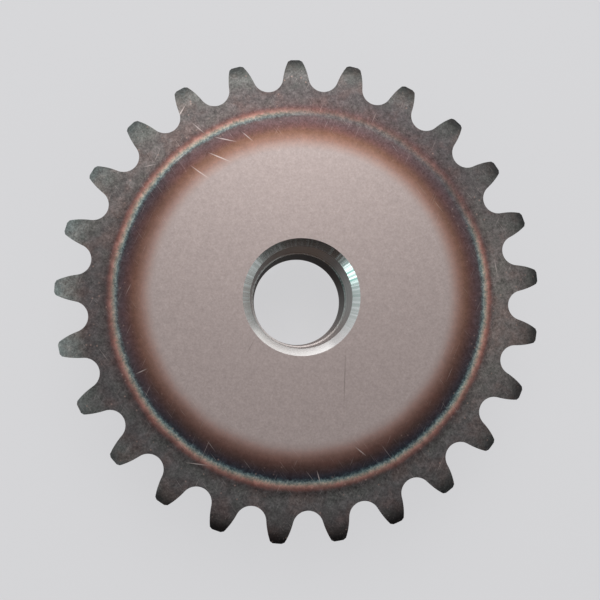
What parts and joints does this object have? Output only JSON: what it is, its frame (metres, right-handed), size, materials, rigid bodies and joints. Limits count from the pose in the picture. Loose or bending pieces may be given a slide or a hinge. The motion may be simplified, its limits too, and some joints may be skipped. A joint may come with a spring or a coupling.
{
  "type": "chain sprocket",
  "caption": "Flat toothed steel wheel for bushing chain, with a plain chamfered bore and a round hub on its back.",
  "frame": {"origin": "on the bore's axis, at the hub's end face", "axes": "+Z along the bore, from the hub towards the flat toothed face; +X through the middle of a tooth"},
  "size_m": [0.0824, 0.0826, 0.02],
  "materials": {
    "tempered_steel": "bare carbon steel, fine matt face with heat tint from hardening the teeth, dark oxide on the teeth, machined bore"
  },
  "bodies": {
    "root": {"sprocket": "tempered_steel"}
  },
  "joints": []
}
